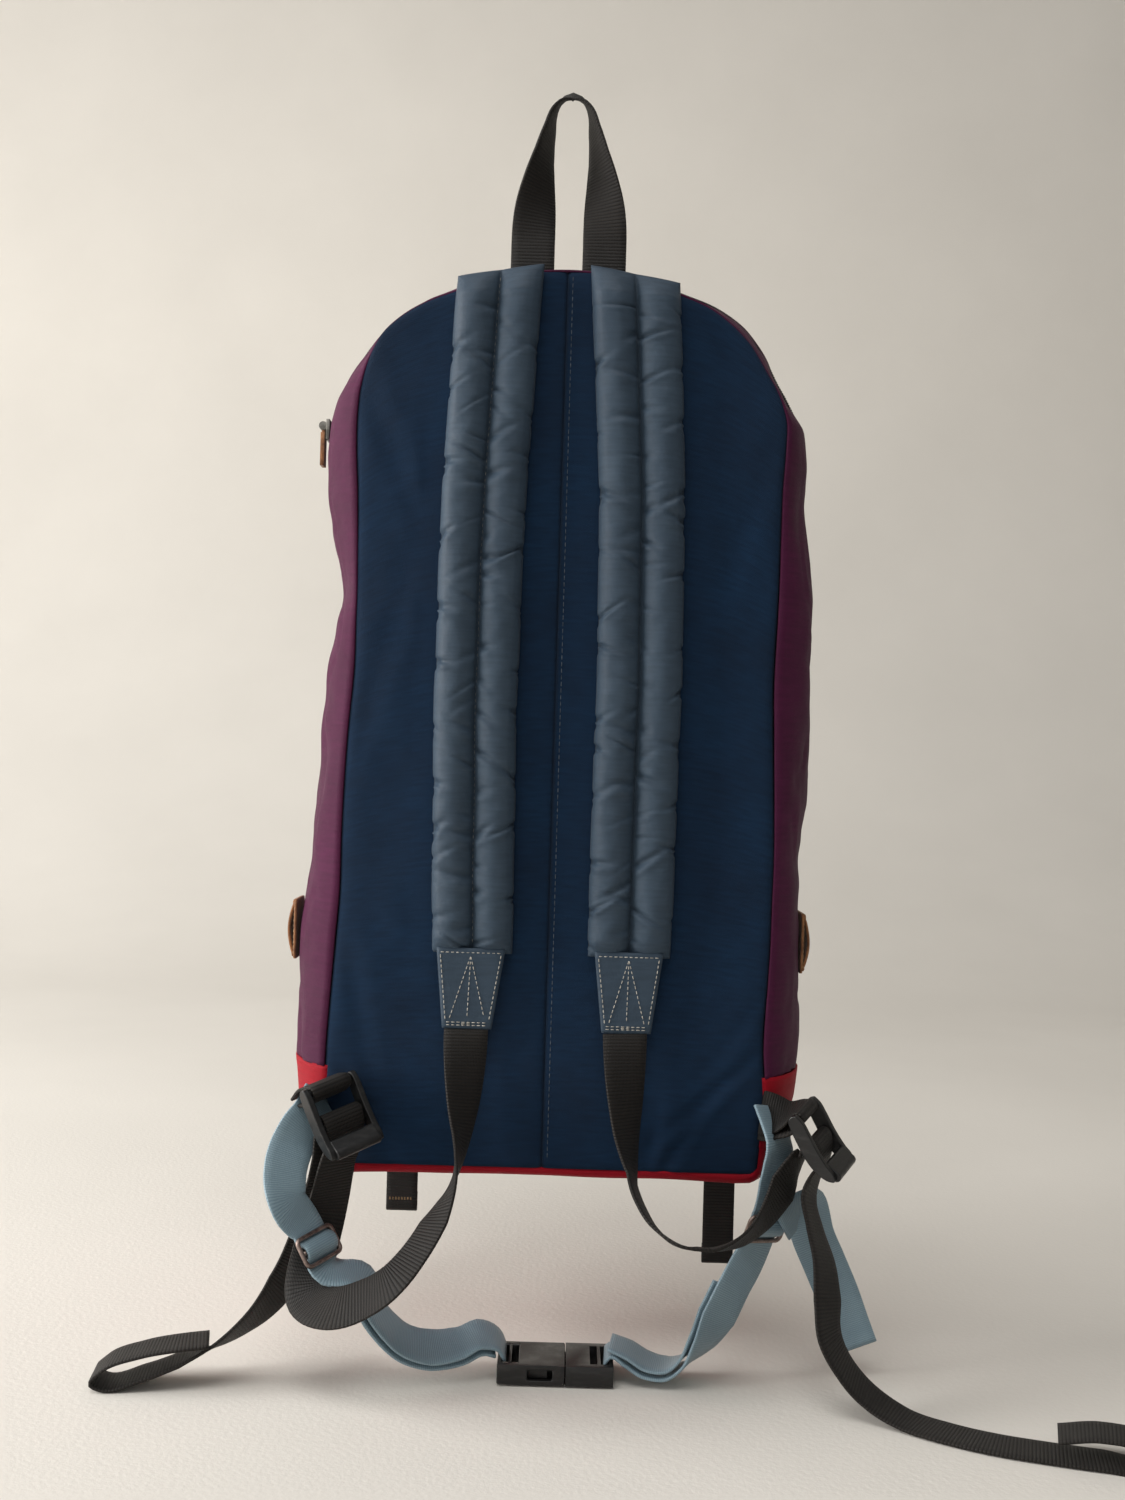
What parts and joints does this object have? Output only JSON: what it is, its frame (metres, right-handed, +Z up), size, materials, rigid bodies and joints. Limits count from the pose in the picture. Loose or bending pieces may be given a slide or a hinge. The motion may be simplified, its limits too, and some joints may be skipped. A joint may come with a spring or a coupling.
{
  "type": "daypack",
  "caption": "Frameless daypack that hangs from a haul loop, with zipped compartments, padded shoulder straps and a buckled webbing waist belt.",
  "frame": {"origin": "inside of the haul loop's top, where a hook or peg holds the pack", "axes": "+X across the pack, -Y towards the wearer's back (harness side), +Z up"},
  "size_m": [0.566, 0.2566, 0.7368],
  "materials": {
    "back_cloth": "matt coarse twill",
    "pad_foam": "closed-cell foam",
    "lining_cloth": "matt",
    "pack_cloth": "matt plain weave",
    "boot_cloth": "satin",
    "zip_tape": "matt",
    "slider_metal": "satin",
    "leather": "smooth",
    "black_webbing": "ribbed",
    "strap_cloth": "smooth",
    "belt_webbing": "satin, ribbed",
    "black_plastic": "satin",
    "glide_metal": "satin"
  },
  "bodies": {
    "pack": {"back_panel_left": "back_cloth", "back_panel_right": "back_cloth", "back_pad": "pad_foam", "back_lining": "lining_cloth", "rear_gusset": "pack_cloth", "side_panel_left": "pack_cloth", "side_panel_right": "pack_cloth", "front_panel": "pack_cloth", "bottom_boot": "boot_cloth", "divider_panel": "lining_cloth", "main_zip_rear_tape": "zip_tape", "lash_patch_left": "leather", "lash_patch_right": "leather", "anchor_tab_left": "black_webbing", "anchor_tab_right": "black_webbing", "adjuster_left": "black_webbing", "adjuster_right": "black_webbing", "adjuster_tail_left": "black_webbing", "adjuster_tail_right": "black_webbing"},
    "main_flap": {"middle_gusset": "pack_cloth", "divider_top": "lining_cloth", "main_zip_front_tape": "zip_tape", "pocket_zip_rear_tape": "zip_tape"},
    "front_flap": {"front_gusset": "pack_cloth", "front_panel_top": "pack_cloth", "pocket_zip_front_tape": "zip_tape"},
    "main_zip_slider": {"main_zip_slider": "slider_metal"},
    "main_zip_pull": {"main_zip_pull": "leather"},
    "pocket_zip_slider": {"pocket_zip_slider": "slider_metal"},
    "pocket_zip_pull": {"pocket_zip_pull": "leather"},
    "haul_loop": {"haul_loop": "black_webbing"},
    "shoulder_strap_left": {"strap_cover_left": "strap_cloth", "strap_lining_left": "strap_cloth", "strap_foam_left": "pad_foam", "strap_tab_left": "strap_cloth"},
    "shoulder_strap_right": {"strap_cover_right": "strap_cloth", "strap_lining_right": "strap_cloth", "strap_foam_right": "pad_foam", "strap_tab_right": "strap_cloth"},
    "ladder_lock_left": {"ladder_lock_left": "black_plastic"},
    "ladder_lock_right": {"ladder_lock_right": "black_plastic"},
    "waist_belt": {"belt_left": "belt_webbing", "belt_right": "belt_webbing", "belt_return_left": "belt_webbing", "belt_return_right": "belt_webbing", "belt_tail_right": "belt_webbing", "buckle_socket": "black_plastic"},
    "tri_glide_left": {"tri_glide_left": "glide_metal"},
    "tri_glide_right": {"tri_glide_right": "glide_metal"},
    "buckle_plug": {"buckle_plug": "black_plastic"},
    "buckle_prong_near": {"buckle_prong_near": "black_plastic"},
    "buckle_prong_far": {"buckle_prong_far": "black_plastic"},
    "lash_strap_left": {"lash_strap_left": "black_webbing"},
    "lash_strap_right": {"lash_strap_right": "black_webbing"}
  },
  "joints": [
    {"name": "main_flap_open", "type": "hinge", "parent": "pack", "child": "main_flap", "pos_m": [0, 0.142, -0.215], "axis": [-1, 0, 0], "range_deg": [0, 60]},
    {"name": "front_flap_open", "type": "hinge", "parent": "main_flap", "child": "front_flap", "pos_m": [0, 0.142, -0.215], "axis": [-1, 0, 0], "range_deg": [0, 60]},
    {"name": "main_zip_run", "type": "hinge", "parent": "main_flap", "child": "main_zip_slider", "pos_m": [-0.052, 0.048, -0.178], "axis": [0, 1, 0], "range_deg": [0, 53]},
    {"name": "main_zip_pull_swing", "type": "hinge", "parent": "main_zip_slider", "child": "main_zip_pull", "pos_m": [-0.1445, 0.048, -0.1755], "axis": [0, 1, 0], "range_deg": [0, 150]},
    {"name": "pocket_zip_run", "type": "hinge", "parent": "front_flap", "child": "pocket_zip_slider", "pos_m": [0.052, 0.104, -0.178], "axis": [0, -1, 0], "range_deg": [0, 53]},
    {"name": "pocket_zip_pull_swing", "type": "hinge", "parent": "pocket_zip_slider", "child": "pocket_zip_pull", "pos_m": [0.1445, 0.104, -0.1755], "axis": [0, -1, 0], "range_deg": [0, 150]},
    {"name": "haul_loop_fold", "type": "hinge", "parent": "pack", "child": "haul_loop", "pos_m": [0, 0.003, -0.0855], "axis": [1, 0, 0], "range_deg": [-35, 70], "stiffness_Nm_per_rad": 0.03},
    {"name": "shoulder_strap_left_swing", "type": "hinge", "parent": "pack", "child": "shoulder_strap_left", "pos_m": [-0.038, -0.002, -0.095], "axis": [-1, 0, 0], "range_deg": [0, 35], "deforming": ["adjuster_left"]},
    {"name": "shoulder_strap_right_swing", "type": "hinge", "parent": "pack", "child": "shoulder_strap_right", "pos_m": [0.038, -0.002, -0.095], "axis": [-1, 0, 0], "range_deg": [0, 35], "deforming": ["adjuster_right"]},
    {"name": "ladder_lock_left_tilt", "type": "hinge", "parent": "pack", "child": "ladder_lock_left", "pos_m": [-0.12, -0.019, -0.558], "axis": [0.741, 0.6308, 0.2303], "range_deg": [-8, 8], "deforming": ["adjuster_left", "adjuster_tail_left"]},
    {"name": "ladder_lock_right_tilt", "type": "hinge", "parent": "pack", "child": "ladder_lock_right", "pos_m": [0.147, -0.013, -0.566], "axis": [0.4541, 0.878, 0.1514], "range_deg": [-8, 8], "deforming": ["adjuster_right", "adjuster_tail_right"]},
    {"name": "waist_belt_swing", "type": "hinge", "parent": "pack", "child": "waist_belt", "pos_m": [0, -0.014, -0.562], "axis": [-1, 0, 0], "range_deg": [0, 50], "deforming": ["belt_left", "belt_right", "belt_return_left", "belt_return_right", "belt_tail_right", "adjuster_left", "adjuster_right", "adjuster_tail_left", "adjuster_tail_right"]},
    {"name": "tri_glide_left_slide", "type": "slide", "parent": "waist_belt", "child": "tri_glide_left", "axis": [-0.5004, 0.1928, 0.8441], "range_m": [-0.006, 0.006], "deforming": ["belt_left", "belt_return_left"]},
    {"name": "tri_glide_right_slide", "type": "slide", "parent": "waist_belt", "child": "tri_glide_right", "axis": [0.2989, -0.1635, 0.9402], "range_m": [-0.006, 0.006], "deforming": ["belt_right", "belt_return_right", "belt_tail_right"]},
    {"name": "buckle_release", "type": "slide", "parent": "waist_belt", "child": "buckle_plug", "axis": [1, 0, 0], "range_m": [0, 0.035], "deforming": ["belt_right", "belt_return_right", "belt_tail_right"]},
    {"name": "buckle_prong_near_press", "type": "hinge", "parent": "buckle_plug", "child": "buckle_prong_near", "pos_m": [0.0205, -0.0173, -0.7138], "axis": [0, 0, -1], "range_deg": [0, 8], "stiffness_Nm_per_rad": 0.02},
    {"name": "buckle_prong_far_press", "type": "hinge", "parent": "buckle_plug", "child": "buckle_prong_far", "pos_m": [0.0205, 0.0023, -0.7138], "axis": [0, 0, 1], "range_deg": [0, 8], "stiffness_Nm_per_rad": 0.02},
    {"name": "lash_strap_left_swing", "type": "hinge", "parent": "pack", "child": "lash_strap_left", "pos_m": [-0.09, 0.112, -0.6132], "axis": [1, 0, 0], "range_deg": [-35, 35]},
    {"name": "lash_strap_right_swing", "type": "hinge", "parent": "pack", "child": "lash_strap_right", "pos_m": [0.114, 0.112, -0.6132], "axis": [1, 0, 0], "range_deg": [-35, 35]}
  ]
}
